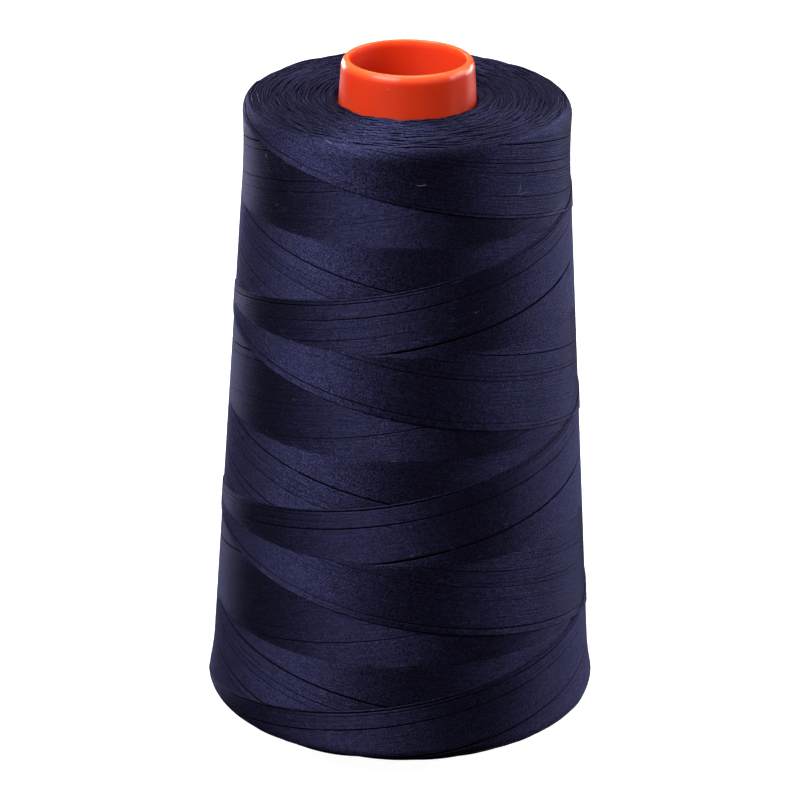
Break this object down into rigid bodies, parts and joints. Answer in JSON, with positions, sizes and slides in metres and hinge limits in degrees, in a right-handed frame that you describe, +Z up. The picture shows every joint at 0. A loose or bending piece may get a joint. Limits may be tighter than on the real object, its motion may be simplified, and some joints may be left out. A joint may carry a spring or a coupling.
{
  "type": "cone of sewing thread",
  "caption": "Large cross-wound package of dark blue sewing thread on a hollow tapered orange plastic cone, with a rounded nose standing above the thread.",
  "frame": {"origin": "centre of the foot's flat bottom ring, on the cone's axis", "axes": "+Z up the axis from the foot to the nose; +X and +Y are any two directions square to it, because the shape is round"},
  "size_m": [0.0716, 0.0716, 0.125],
  "materials": {
    "core_plastic": "injection-moulded orange plastic, satin to glossy, slightly translucent at thin edges",
    "thread": "dark navy spun polyester sewing thread, soft sheen across the strands"
  },
  "bodies": {
    "root": {"cone_core": "core_plastic", "start_winding": "thread", "thread_package": "thread"}
  },
  "joints": []
}
